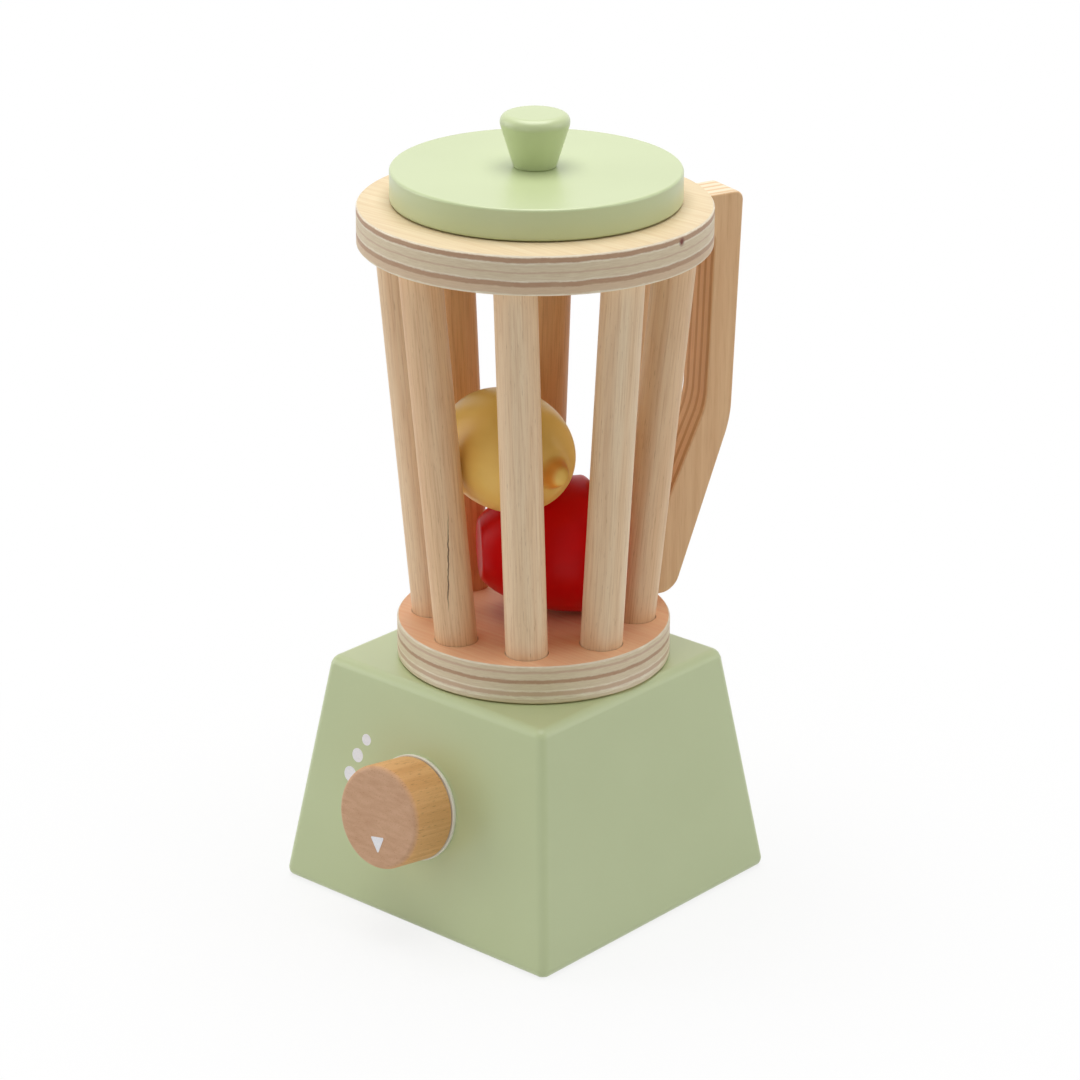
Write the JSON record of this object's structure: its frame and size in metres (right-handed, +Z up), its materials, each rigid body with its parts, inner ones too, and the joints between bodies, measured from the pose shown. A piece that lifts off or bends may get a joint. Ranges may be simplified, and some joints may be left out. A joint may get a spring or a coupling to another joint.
{
  "type": "toy blender",
  "caption": "Wooden play blender: painted tapered box base with a turning control knob, lift-off open jug of dowels with side handle, lift-off round lid with a knob, and loose play fruit.",
  "frame": {"origin": "centre of the base's underside, on the surface that the toy stands on", "axes": "+Z up, -Y towards the control knob's side, +X towards the plain side at the right of the knob"},
  "size_m": [0.103, 0.1309, 0.2329],
  "materials": {
    "green_paint": "satin painted board, sage green",
    "raw_board": "bare fibreboard and softwood, matte",
    "plywood": "birch plywood, sanded, striped edge",
    "birch": "sanded birch dowel",
    "handle_board": "sanded tan plywood",
    "beech": "sanded beech, flecked",
    "white_plastic": "moulded, satin",
    "steel": "zinc plated",
    "red_lacquer": "turned wood, glossy red lacquer",
    "yellow_lacquer": "turned wood, satin yellow lacquer"
  },
  "bodies": {
    "base": {"base_front": "green_paint", "base_back": "green_paint", "base_left": "green_paint", "base_right": "green_paint", "base_top": "green_paint", "base_floor": "raw_board", "corner_blocks": "raw_board", "floor_screws": "steel", "knob_washer": "white_plastic"},
    "control_knob": {"knob": "beech", "knob_bolt": "steel", "nut_washer": "steel", "lock_nut": "steel"},
    "jug": {"jug_peg": "birch", "jug_disc": "plywood", "dowel_1": "birch", "dowel_2": "birch", "dowel_3": "birch", "dowel_4": "birch", "dowel_5": "birch", "dowel_6": "birch", "dowel_7": "birch", "dowel_8": "birch", "jug_ring": "plywood", "handle": "handle_board", "handle_pin": "birch"},
    "lid": {"lid": "green_paint", "lid_plug": "green_paint", "lid_knob": "green_paint", "lid_screw": "steel"},
    "strawberry": {"strawberry": "red_lacquer"},
    "lemon": {"lemon": "yellow_lacquer"}
  },
  "joints": [
    {"name": "knob_turn", "type": "hinge", "parent": "base", "child": "control_knob", "pos_m": [-0.0021, -0.04562, 0.03612], "axis": [0, -0.9895, 0.1445], "continuous": true},
    {"name": "jug_lift", "type": "slide", "parent": "base", "child": "jug", "axis": [0, 0, 1], "range_m": [0, 0.06]},
    {"name": "lid_lift", "type": "slide", "parent": "jug", "child": "lid", "axis": [0, 0, 1], "range_m": [0, 0.05]},
    {"name": "strawberry_lift", "type": "slide", "parent": "jug", "child": "strawberry", "axis": [0, 0, 1], "range_m": [0, 0.018]},
    {"name": "lemon_lift", "type": "slide", "parent": "strawberry", "child": "lemon", "axis": [0, 0, 1], "range_m": [0, 0.028]}
  ]
}
